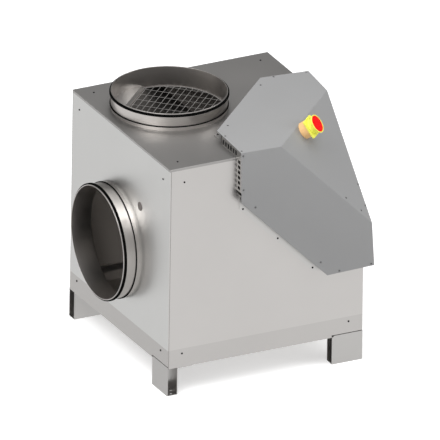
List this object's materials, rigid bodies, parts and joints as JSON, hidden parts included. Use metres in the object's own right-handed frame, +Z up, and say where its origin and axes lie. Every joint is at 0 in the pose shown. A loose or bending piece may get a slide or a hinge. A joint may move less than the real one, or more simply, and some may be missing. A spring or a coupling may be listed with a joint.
{
  "type": "insulated cube duct fan box",
  "caption": "Insulated steel fan box on folded legs with round inlet and outlet duct collars, a faceted motor hood over one corner and a rotary isolator.",
  "frame": {"origin": "on the floor, under the middle of the cube, at the centre of the circle of foot holes", "axes": "+X to the right along the front wall, +Y to the back, +Z up"},
  "size_m": [0.8393, 0.7763, 0.903],
  "materials": {
    "casing_steel": "satin coated steel sheet",
    "tray_steel": "satin coated steel sheet",
    "leg_steel": "folded zinc coated sheet",
    "collar_steel": "satin rolled sheet",
    "seal_rubber": "matt black rubber lip",
    "guard_wire": "welded wire",
    "inner_steel": "plain zinc coated sheet",
    "impeller_paint": "powder coat",
    "motor_paint": "satin paint on cast housing",
    "hood_paint": "matt grey powder coat",
    "isolator_orange": "moulded plastic",
    "isolator_yellow": "moulded plastic",
    "isolator_red": "moulded plastic",
    "plug_plastic": "blanking plug"
  },
  "bodies": {
    "casing": {"front_wall": "casing_steel", "right_wall": "casing_steel", "back_wall": "casing_steel", "left_wall": "casing_steel", "lid": "casing_steel", "hood_grille_left": "casing_steel", "hood_grille_back": "casing_steel", "hood_grille_bottom": "casing_steel", "hood_rim_top": "casing_steel", "hood_rim_front": "casing_steel", "hood_rim_right": "casing_steel", "base_tray": "tray_steel", "leg_front_left": "leg_steel", "leg_front_right": "leg_steel", "leg_back_right": "leg_steel", "leg_back_left": "leg_steel", "inlet_collar": "collar_steel", "outlet_collar": "collar_steel", "inlet_seal_outer": "seal_rubber", "inlet_seal_inner": "seal_rubber", "outlet_seal_outer": "seal_rubber", "outlet_seal_inner": "seal_rubber", "outlet_guard": "guard_wire", "partition": "inner_steel", "inlet_nozzle": "inner_steel", "motor_pan": "inner_steel", "impeller": "impeller_paint", "motor": "motor_paint", "hood_top": "hood_paint", "hood_front": "hood_paint", "hood_right": "hood_paint", "hood_end": "hood_paint", "isolator_base": "isolator_orange", "isolator_plate": "isolator_yellow", "cable_plug": "plug_plastic"},
    "isolator_handle": {"isolator_knob": "isolator_yellow", "isolator_cap": "isolator_red"}
  },
  "joints": [
    {"name": "isolator_turn", "type": "hinge", "parent": "casing", "child": "isolator_handle", "pos_m": [0.2147, -0.2842, 0.8604], "axis": [0.5774, -0.5774, 0.5774], "range_deg": [0, 90]}
  ]
}
